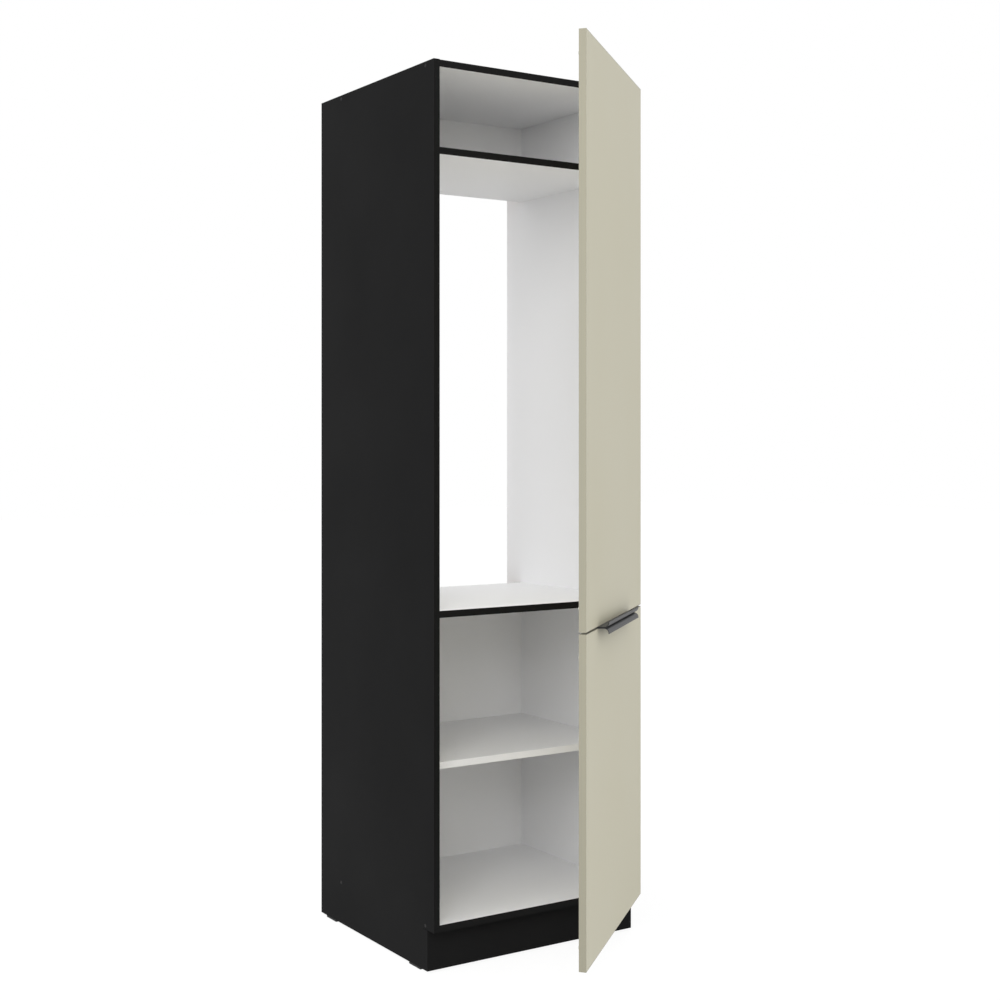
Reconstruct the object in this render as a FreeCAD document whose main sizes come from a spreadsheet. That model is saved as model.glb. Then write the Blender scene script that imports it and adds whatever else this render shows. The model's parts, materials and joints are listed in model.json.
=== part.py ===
"""Tall fridge housing cabinet: a boarded carcass and two doors that hang on concealed cup hinges.

Millimetres. The origin is on the floor under the middle of the carcass. +X runs to the right,
+Y from the doors to the wall and +Z up. The doors are drawn closed and then swung to their rest angle.
"""
import FreeCAD
import Part
import Sketcher
import os
import re

SIZES = (
    ("cabinet_width", 600),
    ("cabinet_height", 2100),
    ("side_depth", 550),
    ("board", 16),
    ("band", 1),
    ("channel_depth", 70),
    ("back_thickness", 3),
    ("top_drop", 1),
    ("toe_height", 100),
    ("fridge_floor_level", 820),
    ("upper_clear_height", 184),
    ("loose_shelf_level", 460),
    ("loose_shelf_setback", 55),
    ("loose_shelf_play", 1),
    ("plinth_setback", 28),
    ("plinth_play", 1),
    ("glide_height", 5),
    ("glide_length", 50),
    ("glide_width", 14),
    ("glide_front_inset", 61),
    ("glide_rear_inset", 28),
    ("glide_nail_radius", 1.25),
    ("glide_nail_length", 18),
    ("glide_nail_spread", 26),
    ("screw_inset", 37),
    ("screw_length", 50),
    ("screw_shank_radius", 2),
    ("screw_head_radius", 3.7),
    ("screw_head_height", 3),
    ("cap_radius", 4),
    ("cap_thickness", 1),
    ("cam_inset", 60),
    ("cam_radius", 7.5),
    ("cam_depth", 12.5),
    ("cam_reach", 34),
    ("cam_bolt_radius", 3),
    ("cam_bolt_bite", 11),
    ("dowel_step", 32),
    ("dowel_radius", 4),
    ("dowel_bite", 12),
    ("dowel_length", 30),
    ("pin_radius", 2.5),
    ("pin_bite", 10),
    ("pin_reach", 9),
    ("pin_collar_radius", 4.5),
    ("pin_collar_thickness", 1.5),
    ("nail_radius", 0.8),
    ("nail_length", 18),
    ("nail_head_radius", 1.8),
    ("nail_head_height", 0.6),
    ("nail_count", 5),
    ("block_size", 20),
    ("block_width", 32),
    ("block_inset", 40),
    ("block_screw_radius", 1.75),
    ("block_screw_bite", 11),
    ("bracket_leg", 36),
    ("bracket_width", 40),
    ("bracket_thickness", 2.5),
    ("bracket_drop", 60),
    ("bracket_hole_radius", 3.5),
    ("bracket_screw_radius", 2),
    ("bracket_screw_bite", 12),
    ("bracket_screw_spread", 22),
    ("bracket_screw_head_radius", 3.6),
    ("bracket_screw_head_height", 2),
    ("door_thickness", 16),
    ("door_reveal", 2),
    ("door_standoff", 2),
    ("door_split_gap", 4),
    ("rest_angle", 39.3),
    ("handle_length", 328),
    ("handle_free_inset", 113),
    ("handle_reach", 25),
    ("handle_lip", 11),
    ("handle_tongue", 12),
    ("handle_wall", 1.4),
    ("handle_bend", 9.6),
    ("handle_screw_inset", 30),
    ("handle_screw_length", 15),
    ("handle_screw_radius", 1.5),
    ("handle_screw_head_radius", 2.8),
    ("hinge_end_inset", 100),
    ("hinge_axis_inset", 6.5),
    ("hinge_axis_depth", 16),
    ("cup_edge", 21.5),
    ("cup_radius", 17.5),
    ("cup_depth", 12),
    ("cup_wall", 1.2),
    ("cup_bevel", 1.5),
    ("flange_radius", 18.5),
    ("flange_thickness", 1),
    ("tab_radius", 7),
    ("cup_screw_spread", 48),
    ("cup_screw_offset", 9.5),
    ("cup_screw_radius", 1.75),
    ("cup_screw_bite", 11),
    ("cup_screw_head_radius", 3.4),
    ("cup_screw_head_height", 1.6),
    ("cheek_wall", 1.2),
    ("cheek_length", 9),
    ("cheek_drop", 1),
    ("window_width", 6.2),
    ("window_height", 8.14),
    ("window_offset", 11.95),
    ("window_level", 6.41),
    ("plate_thickness", 2),
    ("plate_width", 20),
    ("plate_screw_spread", 32),
    ("plate_screw_radius", 2),
    ("plate_screw_bite", 12),
    ("plate_screw_head_radius", 3.6),
    ("plate_screw_head_height", 2),
    ("ridge_height", 8),
    ("ridge_inset", 12),
    ("ridge_length", 54),
    ("arm_wall", 1.2),
    ("arm_play", 0.3),
    ("arm_depth", 5.5),
    ("arm_screw_inset", 10),
    ("arm_screw_radius", 2),
    ("arm_screw_bite", 5),
    ("arm_screw_head_radius", 3.6),
    ("arm_screw_head_height", 1.5),
    ("nose_reach", 19.8),
    ("nose_lead", 7),
    ("nose_radius", 2.6),
    ("nose_round", 2.4),
    ("nose_angle", 40.7),
    ("fork_inset", 5),
    ("pivot_radius", 1.5),
    ("pivot_play", 0.05),
    ("link_height", 9),
    ("link_wall", 2.6),
    ("link_end_offset", 10.1),
    ("link_end_level", 4.05),
    ("link_neck_run", 3.4),
    ("link_neck_drop", 5.05),
    ("link_ratio", 0.4545),
    ("stub_radius", 1.1),
    ("bumper_radius", 4),
    ("bumper_thickness", 1.6),
    ("bumper_inset", 50),
)

# Values worked out from the sizes above, as formulas of the same sheet.
DERIVED = (
    ("half_width", "=cabinet_width / 2"),
    ("inner_half", "=half_width - board"),
    ("inner_width", "=2 * inner_half"),
    ("front_edge", "=-side_depth / 2"),
    ("rear_edge", "=side_depth / 2"),
    ("board_front", "=front_edge + band"),
    ("shelf_depth", "=side_depth - channel_depth"),
    ("shelf_rear", "=front_edge + shelf_depth"),
    ("top_level", "=cabinet_height - top_drop - board"),
    ("upper_shelf_level", "=top_level - upper_clear_height - board"),
    ("notch_depth", "=plinth_setback + board"),
    ("plinth_front", "=front_edge + plinth_setback"),
    ("plinth_top", "=toe_height - plinth_play"),
    ("loose_shelf_front", "=front_edge + loose_shelf_setback"),
    ("door_half", "=half_width - door_reveal"),
    ("door_back", "=front_edge - door_standoff"),
    ("door_front", "=door_back - door_thickness"),
    ("lower_door_bottom", "=toe_height + door_reveal"),
    ("lower_door_top", "=fridge_floor_level - door_split_gap"),
    ("upper_door_bottom", "=fridge_floor_level"),
    ("upper_door_top", "=cabinet_height - door_reveal"),
    ("handle_start", "=-door_half + handle_free_inset"),
    ("handle_turn", "=min(handle_bend; handle_lip - handle_wall)"),
    ("hinge_axis_x", "=door_half - hinge_axis_inset"),
    ("hinge_axis_y", "=door_back - hinge_axis_depth"),
    ("rest_cosine", "=cos(rest_angle * 1 deg)"),
    ("rest_sine", "=sin(rest_angle * 1 deg)"),
    ("rest_shift_x", "=hinge_axis_x * (1 - rest_cosine) + hinge_axis_y * rest_sine"),
    ("rest_shift_y", "=hinge_axis_y * (1 - rest_cosine) - hinge_axis_x * rest_sine"),
    ("cup_x", "=door_half - cup_edge"),
    ("cup_screw_x", "=cup_x - cup_screw_offset"),
    ("window_x", "=cup_x + window_offset"),
    ("window_y", "=door_back - window_level"),
    ("ridge_top", "=inner_half - ridge_height"),
    ("ridge_front", "=front_edge + ridge_inset"),
    ("arm_front", "=ridge_top - arm_wall"),
    ("arm_back", "=ridge_top + arm_depth"),
    ("arm_rear", "=ridge_front + ridge_length"),
    ("channel_half", "=link_height / 2 + arm_play"),
    ("arm_half", "=channel_half + arm_wall"),
    ("pivot_x", "=inner_half - nose_reach"),
    ("pivot_y", "=front_edge - nose_lead"),
    ("nose_side", "=nose_radius * sin(nose_angle * 1 deg)"),
    ("nose_rise", "=nose_radius * cos(nose_angle * 1 deg)"),
    ("link_end_x", "=cup_x + link_end_offset"),
    ("link_end_y", "=door_back - link_end_level"),
    ("link_neck_x", "=link_end_x - link_neck_run"),
    ("link_neck_y", "=link_end_y - link_neck_drop"),
    ("link_turn", "=-link_ratio * rest_angle"),
    ("link_cosine", "=cos(link_turn * 1 deg)"),
    ("link_sine", "=sin(link_turn * 1 deg)"),
    ("link_shift_x", "=pivot_x * (1 - link_cosine) + pivot_y * link_sine"),
    ("link_shift_y", "=pivot_y * (1 - link_cosine) - pivot_x * link_sine"),
)

SIDES = {-1: "left_side_panel", 1: "right_side_panel"}
LEVELS = {
    "toe_height": "bottom_panel",
    "fridge_floor_level": "fridge_floor_shelf",
    "upper_shelf_level": "upper_fixed_shelf",
    "top_level": "top_panel",
}

TURNS = {
    "x": FreeCAD.Rotation(FreeCAD.Vector(0, 1, 0), 90),
    "-x": FreeCAD.Rotation(FreeCAD.Vector(0, 1, 0), -90),
    "y": FreeCAD.Rotation(FreeCAD.Vector(1, 0, 0), -90),
    "-y": FreeCAD.Rotation(FreeCAD.Vector(1, 0, 0), 90),
    "z": FreeCAD.Rotation(),
    "-z": FreeCAD.Rotation(FreeCAD.Vector(1, 0, 0), 180),
}

doc = FreeCAD.newDocument("fridge_housing")
dim = doc.addObject("Spreadsheet::Sheet", "dim")
nodes = []
bores = {}

# Two places closer than this count as the same place.
TOUCH = 0.001


def fill_sheet():
    """Write every driving size and every derived value to its own named cell."""
    for row, (alias, value) in enumerate(SIZES + DERIVED, start=1):
        cell = f"B{row}"
        dim.set(f"A{row}", alias)
        dim.set(cell, str(value))
        dim.setAlias(cell, alias)
    doc.recompute()


def sized(text):
    """Turn the sheet's words in a formula into references to the sheet."""
    aliases = {alias for alias, _ in SIZES + DERIVED}
    return re.sub(r"[a-z_]+", lambda word: f"dim.{word[0]}" if word[0] in aliases else word[0], text)


def bind(thing, **formulas):
    """Bind properties of a feature to formulas of the sheet."""
    for prop, text in formulas.items():
        thing.setExpression(prop, sized(text))
    return thing


def place(thing, x="0", y="0", z="0", along="z"):
    """Put a feature at a bound point, with its own Z axis along the named direction."""
    thing.Placement = FreeCAD.Placement(FreeCAD.Vector(), TURNS[along])
    for letter, text in (("x", x), ("y", y), ("z", z)):
        thing.setExpression(f"Placement.Base.{letter}", sized(text))
    return thing


def box(name, size, at):
    """A block of bound length, width and height, from its lowest corner."""
    block = doc.addObject("Part::Box", name)
    bind(block, Length=size[0], Width=size[1], Height=size[2])
    return place(block, *at)


def rod(name, radius, length, at, along="z"):
    """A cylinder from a bound point along the named direction."""
    bar = doc.addObject("Part::Cylinder", name)
    bind(bar, Radius=radius, Height=length)
    return place(bar, *at, along)


def cone(name, radius, tip_radius, length, at, along="z"):
    """A cone frustum from a bound point along the named direction."""
    taper = doc.addObject("Part::Cone", name)
    bind(taper, Radius1=radius, Radius2=tip_radius, Height=length)
    return place(taper, *at, along)


def fuse(name, pieces):
    """Join features into one solid."""
    union = doc.addObject("Part::MultiFuse", name)
    union.Shapes = pieces
    return union


def cut(name, base, tools):
    """Take features away from a base."""
    result = doc.addObject("Part::Cut", name)
    result.Base = base
    result.Tool = tools[0] if len(tools) == 1 else fuse(f"{name}_tools", tools)
    return result


def common(name, first, second):
    """What two features share."""
    overlap = doc.addObject("Part::Common", name)
    overlap.Base = first
    overlap.Tool = second
    return overlap


def group(name, pieces):
    """Keep separate solids together as one node."""
    if len(pieces) == 1:
        return pieces[0]
    bunch = doc.addObject("Part::Compound", name)
    bunch.Links = pieces
    return bunch


def node(label, thing):
    """Name a finished sub-part after the file that it is written to."""
    thing.Label = label
    nodes.append(thing)
    return thing


def profile(name, plane, start, points, length):
    """A body padded from a closed outline whose corners are all bound to the sheet."""
    body = doc.addObject("PartDesign::Body", name)
    sketch = body.newObject("Sketcher::SketchObject", f"{name}_outline")
    support = [each for each in body.Origin.OriginFeatures if each.Role == plane][0]
    sketch.AttachmentSupport = [(support, "")]
    sketch.MapMode = "FlatFace"
    sketch.setExpression("AttachmentOffset.Base.z", sized(start))
    corners = [FreeCAD.Vector(worth(across), worth(up), 0) for across, up in points]
    count = len(corners)
    for index, corner in enumerate(corners):
        sketch.addGeometry(Part.LineSegment(corner, corners[(index + 1) % count]), False)
    for index in range(count):
        sketch.addConstraint(Sketcher.Constraint("Coincident", index, 2, (index + 1) % count, 1))
    for index, (across, up) in enumerate(points):
        for kind, text, value in (("X", across, corners[index].x), ("Y", up, corners[index].y)):
            limit = Sketcher.Constraint(f"Distance{kind}", -1, 1, index, 1, value)
            place_in_list = sketch.addConstraint(limit)
            constraint_name = f"corner_{index}_{kind.lower()}"
            sketch.renameConstraint(place_in_list, constraint_name)
            sketch.setExpression(f"Constraints.{constraint_name}", sized(text))
    pad = body.newObject("PartDesign::Pad", f"{name}_pad")
    pad.Profile = sketch
    bind(pad, Length=length)
    doc.recompute()
    return body


def worth(text):
    """The number that a formula of the sheet comes to, read back from a spare cell."""
    dim.set("D1", f"={text}")
    dim.recompute()
    return float(dim.get("D1"))


def bore(label, tool):
    """Note that a fitting needs its own bore in a board."""
    bores.setdefault(label, []).append(tool)
    return tool


def bored(label, blank):
    """A finished board: its blank without the bores noted for it."""
    return cut(f"{label}_bored", blank, bores[label])


def round_edges(body, name, radius, across, up):
    """Round the pad's long edge whose two ends share the given pair of places."""
    solid = body.Tip
    picked = []
    for index, edge in enumerate(solid.Shape.Edges, start=1):
        ends = [vertex.Point for vertex in edge.Vertexes]
        if all(abs(end[axis] - spot) < TOUCH for end in ends for axis, spot in (across, up)):
            picked.append(f"Edge{index}")
    rounding = body.newObject("PartDesign::Fillet", name)
    rounding.Base = (solid, picked)
    bind(rounding, Radius=radius)
    doc.recompute()


def inward(side):
    """The direction from one side towards the middle of the cabinet."""
    return "-x" if side > 0 else "x"


def headed_screw(name, radius, length, head_radius, head_height, at, along, back):
    """A screw with a low round head that sits on a face and a shank that runs into it."""
    head = rod(f"{name}_head", head_radius, head_height, at, back)
    shank = rod(f"{name}_shank", radius, length, at, along)
    return fuse(name, [head, shank])


def sunk_screw(name, radius, length, head_radius, head_height, at, along):
    """A screw whose cone head is flush with the face it goes into."""
    head = cone(f"{name}_head", head_radius, radius, head_height, at, along)
    shank = rod(f"{name}_shank", radius, length, at, along)
    return fuse(name, [head, shank])


def carcass_screws():
    """Screws through the sides into the top and bottom panels, each under a flush cap."""
    screws, caps = [], []
    for side, board in SIDES.items():
        for level in ("toe_height", "top_level"):
            for end, y in (("front", "front_edge + screw_inset"), ("rear", "shelf_rear - screw_inset")):
                name = f"{board}_{level}_{end}"
                z = f"{level} + board / 2"
                cap = rod(f"cap_{name}", "cap_radius", "cap_thickness",
                          (f"{side} * half_width", y, z), inward(side))
                screw = sunk_screw(f"carcass_screw_{name}", "screw_shank_radius", "screw_length",
                                   "screw_head_radius", "screw_head_height",
                                   (f"{side} * ( half_width - cap_thickness )", y, z), inward(side))
                bore(board, cap)
                bore(board, screw)
                bore(LEVELS[level], screw)
                caps.append(cap)
                screws.append(screw)
    node("carcass_screws", group("carcass_screw_set", screws))
    node("screw_caps", group("screw_cap_set", caps))


def shelf_joints():
    """Cams with their bolts, and dowels, between the fixed shelves and the sides."""
    bolts, cams, dowels = [], [], []
    for side, board in SIDES.items():
        for level in ("fridge_floor_level", "upper_shelf_level"):
            cam_start, cam_way = (level, "z") if level == "fridge_floor_level" else (f"{level} + board", "-z")
            for end, edge, way in (("front", "front_edge", "+"), ("rear", "shelf_rear", "-")):
                name = f"{board}_{level}_{end}"
                z = f"{level} + board / 2"
                y = f"{edge} {way} cam_inset"
                bolt = rod(f"cam_bolt_{name}", "cam_bolt_radius", "cam_bolt_bite + cam_reach",
                           (f"{side} * ( inner_half + cam_bolt_bite )", y, z), inward(side))
                disc = rod(f"cam_blank_{name}", "cam_radius", "cam_depth",
                           (f"{side} * ( inner_half - cam_reach )", y, cam_start), cam_way)
                dowel_at = (f"{side} * ( inner_half + dowel_bite )", f"{y} {way} dowel_step", z)
                dowel = rod(f"dowel_{name}", "dowel_radius", "dowel_length", dowel_at, inward(side))
                for piece in (bolt, dowel):
                    bore(board, piece)
                    bore(LEVELS[level], piece)
                bore(LEVELS[level], disc)
                bolts.append(bolt)
                cams.append(cut(f"cam_disc_{name}", disc, [bolt]))
                dowels.append(dowel)
    node("cam_bolts", group("cam_bolt_set", bolts))
    node("cam_discs", group("cam_disc_set", cams))
    node("dowels", group("dowel_set", dowels))


def loose_shelf():
    """The adjustable shelf, a little narrower than its space, on collared pins in the sides."""
    width = "inner_width - 2 * loose_shelf_play"
    x = "-inner_half + loose_shelf_play"
    node("adjustable_shelf", box("loose_board", (width, "shelf_rear - loose_shelf_front - band", "board"),
                                 (x, "loose_shelf_front + band", "loose_shelf_level")))
    node("shelf_front_band", box("loose_band", (width, "band", "board"),
                                 (x, "loose_shelf_front", "loose_shelf_level")))
    pins = []
    z = "loose_shelf_level - pin_radius"
    for side, board in SIDES.items():
        for end, y in (("front", "loose_shelf_front + screw_inset"), ("rear", "shelf_rear - screw_inset")):
            name = f"{board}_{end}"
            peg = rod(f"peg_{name}", "pin_radius", "pin_bite + pin_reach",
                      (f"{side} * ( inner_half + pin_bite )", y, z), inward(side))
            collar = rod(f"collar_{name}", "pin_collar_radius", "pin_collar_thickness",
                         (f"{side} * inner_half", y, z), inward(side))
            span = "4 * pin_collar_radius"
            corner = (f"{side} * inner_half - ( {span} ) / 2", f"{y} - ( {span} ) / 2", "loose_shelf_level")
            trim = box(f"collar_trim_{name}", (span, span, span), corner)
            bore(board, peg)
            pins.append(cut(f"shelf_pin_{name}", fuse(f"pin_blank_{name}", [peg, collar]), [trim]))
    node("shelf_pins", group("shelf_pin_set", pins))


def back_panels():
    """Hardboard behind the two closed compartments, nailed to the rear edges of the panels."""
    nails = []
    for label, low, high in (("lower_back_panel", "toe_height", "fridge_floor_level"),
                             ("upper_back_panel", "upper_shelf_level", "top_level")):
        for level in (low, high):
            for index in range(int(worth("nail_count"))):
                name = f"{level}_{index}"
                at = (f"-inner_half + inner_width * ( {index} + 1 / 2 ) / nail_count",
                      "shelf_rear + back_thickness", f"{level} + board / 2")
                shank = rod(f"nail_shank_{name}", "nail_radius", "nail_length", at, "-y")
                head = rod(f"nail_head_{name}", "nail_head_radius", "nail_head_height", at, "y")
                nails.append(fuse(f"nail_{name}", [shank, head]))
                bore(label, shank)
                bore(LEVELS[level], shank)
        sheet = box(f"{label}_blank", ("inner_width", "back_thickness", f"{high} + board - {low}"),
                    ("-inner_half", "shelf_rear", low))
        node(label, bored(label, sheet))
    node("back_panel_nails", group("nail_set", nails))


def plinth():
    """The toe board across both side notches, held from behind by screwed corner blocks."""
    blocks, screws = [], []
    behind = "plinth_front + board"
    for name, x in (("left", "-inner_half + block_inset"), ("middle", "-block_width / 2"),
                    ("right", "inner_half - block_inset - block_width")):
        outline = ((behind, "toe_height"),
                   (behind, "toe_height - block_size"),
                   (f"{behind} + block_size / 3", "toe_height - block_size"),
                   (f"{behind} + block_size", "toe_height - block_size / 3"),
                   (f"{behind} + block_size", "toe_height"))
        blank = profile(f"block_blank_{name}", "YZ_Plane", x, outline, "block_width")
        length = "block_size + block_screw_bite"
        upward = rod(f"block_screw_up_{name}", "block_screw_radius", length,
                     (f"{x} + block_width / 4", f"{behind} + block_size / 4", "toe_height - block_size"))
        forward = rod(f"block_screw_front_{name}", "block_screw_radius", length,
                      (f"{x} + block_width * 3 / 4", f"{behind} + block_size", "toe_height - block_size / 4"),
                      "-y")
        bore("bottom_panel", upward)
        bore("plinth_board", forward)
        screws += [upward, forward]
        blocks.append(cut(f"plinth_block_{name}", blank, [upward, forward]))
    board = box("plinth_blank", ("cabinet_width", "board", "plinth_top - glide_height"),
                ("-half_width", "plinth_front", "glide_height"))
    node("plinth_board", bored("plinth_board", board))
    node("plinth_blocks", group("block_set", blocks))
    node("plinth_block_screws", group("block_screw_set", screws))


def floor_glides():
    """Plastic glides under the sides, with their nails moulded in."""
    glides, nails = [], []
    for side, board in SIDES.items():
        middle = f"{side} * ( half_width - board / 2 )"
        for end, y in (("front", "front_edge + glide_front_inset"),
                       ("rear", "rear_edge - glide_rear_inset - glide_length")):
            name = f"{board}_{end}"
            pair = []
            for spot, way in (("fore", "-"), ("aft", "+")):
                at = (middle, f"{y} + glide_length / 2 {way} glide_nail_spread / 2", "glide_height / 2")
                pair.append(bore(board, rod(f"glide_nail_{name}_{spot}", "glide_nail_radius",
                                            "glide_nail_length", at)))
            foot = box(f"glide_blank_{name}", ("glide_width", "glide_length", "glide_height"),
                       (f"{middle} - glide_width / 2", y, "0"))
            glides.append(cut(f"glide_{name}", foot, pair))
            nails += pair
    node("floor_glides", group("glide_set", glides))
    node("glide_nails", group("glide_nail_set", nails))


def wall_brackets():
    """Bent angles at the top rear, screwed to the sides and drilled for the wall."""
    brackets, screws = [], []
    low = "cabinet_height - bracket_drop - bracket_width"
    middle = f"{low} + bracket_width / 2"
    for side, board in SIDES.items():
        name = f"bracket_{board}"
        face = f"{side} * inner_half"
        plate = f"{side} * ( inner_half - bracket_thickness )"
        tip = f"{side} * ( inner_half - bracket_leg )"
        bend = "rear_edge - bracket_thickness"
        outline = ((face, "rear_edge"), (face, "rear_edge - bracket_leg"), (plate, "rear_edge - bracket_leg"),
                   (plate, bend), (tip, bend), (tip, "rear_edge"))
        angle = profile(name, "XY_Plane", low, outline, "bracket_width")
        round_edges(angle, f"{name}_outer_bend", "2 * bracket_thickness",
                    (0, worth(face)), (1, worth("rear_edge")))
        round_edges(angle, f"{name}_inner_bend", "bracket_thickness", (0, worth(plate)), (1, worth(bend)))
        pair = []
        for spot, way in (("low", "-"), ("high", "+")):
            at = (plate, "rear_edge - bracket_leg / 2", f"{middle} {way} bracket_screw_spread / 2")
            pair.append(bore(board, headed_screw(f"{name}_screw_{spot}", "bracket_screw_radius",
                                                 "bracket_thickness + bracket_screw_bite",
                                                 "bracket_screw_head_radius", "bracket_screw_head_height",
                                                 at, inward(-side), inward(side))))
        hole = rod(f"{name}_hole", "bracket_hole_radius", "bracket_thickness",
                   (f"{side} * ( inner_half - bracket_leg / 2 )", "rear_edge", middle), "-y")
        brackets.append(cut(f"{name}_drilled", angle, [hole] + pair))
        screws += pair
    node("wall_brackets", group("bracket_set", brackets))
    node("wall_bracket_screws", group("bracket_screw_set", screws))


def carcass_boards():
    """The sides with their toe notches, and the panels between them, each with a band in front."""
    bands = []
    for side, label in SIDES.items():
        x = "-half_width" if side < 0 else "inner_half"
        blank = box(f"{label}_blank", ("board", "side_depth - band", "cabinet_height - glide_height"),
                    (x, "board_front", "glide_height"))
        bore(label, box(f"{label}_notch", ("board", "notch_depth", "toe_height - glide_height"),
                        (x, "front_edge", "glide_height")))
        node(label, bored(label, blank))
        bands.append(box(f"{label}_band", ("board", "band", "cabinet_height - toe_height"),
                         (x, "front_edge", "toe_height")))
    node("side_front_bands", group("side_band_set", bands))
    bands = []
    for level, label in LEVELS.items():
        blank = box(f"{label}_blank", ("inner_width", "shelf_depth - band", "board"),
                    ("-inner_half", "board_front", level))
        node(label, bored(label, blank))
        bands.append(box(f"{label}_band", ("inner_width", "band", "board"),
                         ("-inner_half", "front_edge", level)))
    node("panel_front_bands", group("panel_band_set", bands))


def swung(label, pieces, turn, shift_x, shift_y):
    """A sub-part drawn with the doors closed and turned about an upright axis to its place at rest."""
    moved = doc.addObject("Part::Compound", f"{label}_moved")
    moved.Links = pieces
    moved.Placement = FreeCAD.Placement(FreeCAD.Vector(), FreeCAD.Rotation(FreeCAD.Vector(0, 0, 1), 1))
    moved.setExpression("Placement.Rotation.Angle", sized(f"{turn} * 1 deg"))
    bind(moved, **{"Placement.Base.x": shift_x, "Placement.Base.y": shift_y})
    return node(label, moved)


def hung(label, pieces):
    """A sub-part of a door, swung about the door's axis to the rest angle."""
    return swung(label, pieces, "rest_angle", "rest_shift_x", "rest_shift_y")


def copies(form, heights):
    """The same form at each of the hinge heights."""
    made = []
    for index, z in enumerate(heights):
        copy = doc.addObject("App::Link", f"{form.Name}_copy_{index}")
        copy.LinkedObject = form
        copy.LinkTransform = True
        made.append(place(copy, z=z))
    return made


def slab(name, start, end):
    """A flat bar of the link's wall and height between two points, drawn at height nought."""
    run, rise = f"( {end[0]} - {start[0]} )", f"( {end[1]} - {start[1]} )"
    reach = f"sqrt( {run} ^ 2 + {rise} ^ 2 )"
    corner = (f"{start[0]} + link_wall / 2 * {rise} / {reach}",
              f"{start[1]} - link_wall / 2 * {run} / {reach}", "-link_height / 2")
    bar = box(name, (reach, "link_wall", "link_height"), corner)
    bar.Placement.Rotation = FreeCAD.Rotation(FreeCAD.Vector(0, 0, 1), 1)
    bar.setExpression("Placement.Rotation.Angle", sized(f"atan2( {rise} ; {run} )"))
    return bar


def plate_forms():
    """A hinge's mounting plate, its two board screws and the two screws that clamp the arm on its ridge."""
    seat = "inner_half - plate_thickness"
    row = "front_edge + screw_inset"
    wing_half = "( plate_screw_spread / 2 )"
    web = box("plate_web", ("plate_thickness", "plate_width", f"2 * {wing_half}"),
              (seat, f"{row} - plate_width / 2", f"-{wing_half}"))
    ridge = box("plate_ridge", ("ridge_height", "ridge_length", "link_height"),
                ("ridge_top", "ridge_front", "-link_height / 2"))
    pieces, screws, clamps = [web, ridge], [], []
    for spot, z in (("low", f"-{wing_half}"), ("high", wing_half)):
        pieces.append(rod(f"plate_ear_{spot}", "plate_width / 2", "plate_thickness", (seat, row, z), "x"))
        screws.append(headed_screw(f"plate_screw_{spot}", "plate_screw_radius",
                                   "plate_thickness + plate_screw_bite", "plate_screw_head_radius",
                                   "plate_screw_head_height", (seat, row, z), "x", "-x"))
    for spot, y in (("front", "ridge_front + arm_screw_inset"), ("rear", "arm_rear - arm_screw_inset")):
        clamps.append(headed_screw(f"arm_screw_{spot}", "arm_screw_radius", "arm_wall + arm_screw_bite",
                                   "arm_screw_head_radius", "arm_screw_head_height",
                                   ("arm_front", y, "0"), "x", "-x"))
    plate = cut("plate_form", fuse("plate_blank", pieces), screws + clamps)
    return plate, group("plate_screw_pair", screws), group("arm_screw_pair", clamps)


def arm_forms(clamps):
    """A hinge arm: a channel over the plate's ridge that ends in a bent, forked nose with a pivot pin."""
    def along_nose(x):
        return f"( {x} - pivot_x ) * tan( nose_angle * 1 deg )"

    tip_x, tip_y = "pivot_x - nose_rise", "pivot_y - nose_side"
    inner_tip = (f"{tip_x} - nose_side", f"{tip_y} + nose_rise")
    outer_tip = (f"{tip_x} + nose_side", f"{tip_y} - nose_rise")
    lift = "nose_radius / cos( nose_angle * 1 deg )"
    outline = (("arm_back", "arm_rear"), ("arm_front", "arm_rear"),
               ("arm_front", f"pivot_y + {along_nose('arm_front')} + {lift}"), inner_tip, outer_tip,
               ("arm_back", f"pivot_y + {along_nose('arm_back')} - {lift}"))
    body = profile("arm_body", "XY_Plane", "-arm_half", outline, "2 * arm_half")
    for name, (x, y) in (("inner", inner_tip), ("outer", outer_tip)):
        round_edges(body, f"arm_nose_{name}", "nose_round", (0, worth(x)), (1, worth(y)))
    channel = box("arm_channel", ("arm_depth", "arm_rear - pivot_y", "2 * channel_half"),
                  ("ridge_top", "pivot_y", "-channel_half"))
    fork = box("arm_fork", ("arm_back - pivot_x + 2 * nose_radius",
                            "nose_lead + fork_inset + 2 * nose_radius", "2 * channel_half"),
               ("pivot_x - 2 * nose_radius", "pivot_y - 2 * nose_radius", "-channel_half"))
    pivot = rod("arm_pivot", "pivot_radius", "2 * arm_half", ("pivot_x", "pivot_y", "-arm_half"))
    return cut("arm_form", body, [channel, fork, pivot, clamps]), pivot


def link_form():
    """The cranked link: an eye on the arm's pivot, a neck that dips into the cup and a pair of end stubs."""
    pivot, neck, end = ("pivot_x", "pivot_y"), ("link_neck_x", "link_neck_y"), ("link_end_x", "link_end_y")
    low = "-link_height / 2"
    reach = "( channel_half + cheek_wall )"
    pieces = [rod("link_eye", "nose_radius", "link_height", (*pivot, low)),
              slab("link_long_bar", pivot, neck),
              rod("link_neck", "link_wall / 2", "link_height", (*neck, low)),
              slab("link_short_bar", neck, end),
              rod("link_tip", "link_wall / 2", "link_height", (*end, low)),
              rod("link_stubs", "stub_radius", f"2 * {reach}", (*end, f"-{reach}"))]
    hole = rod("link_hole", "pivot_radius + pivot_play", "link_height", (*pivot, low))
    return cut("link_form", fuse("link_blank", pieces), [hole])


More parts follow.
